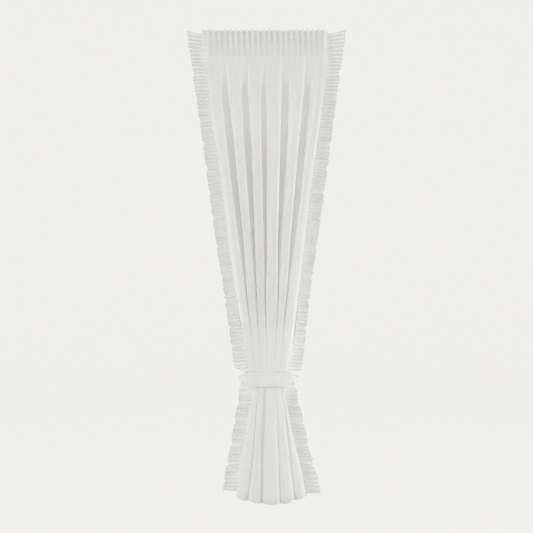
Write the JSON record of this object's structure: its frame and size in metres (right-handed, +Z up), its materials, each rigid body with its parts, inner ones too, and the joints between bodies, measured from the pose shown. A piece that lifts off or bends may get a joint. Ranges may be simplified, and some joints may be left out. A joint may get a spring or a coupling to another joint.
{
  "type": "sheer curtain",
  "caption": "Sheer curtain with a gathered heading, pleated ruffles down both side edges and a tie band low down that draws it in above a flared hem.",
  "frame": {"origin": "middle of the heading's top edge, where the curtain is hung", "axes": "+Z up, the curtain hangs down along -Z; -Y is the front that faces the room; +X to the right seen from the front"},
  "size_m": [0.698, 0.1381, 2.1171],
  "materials": {
    "sheer_cloth": "matt sheer voile, slightly see-through where it is one layer",
    "pleated_sheer": "matt sheer voile set in fine pressed pleats",
    "band_cloth": "matt doubled voile with turned rims"
  },
  "bodies": {
    "root": {"panel": "sheer_cloth", "ruffle_left": "pleated_sheer", "ruffle_right": "pleated_sheer", "tie_band": "band_cloth"}
  },
  "joints": []
}
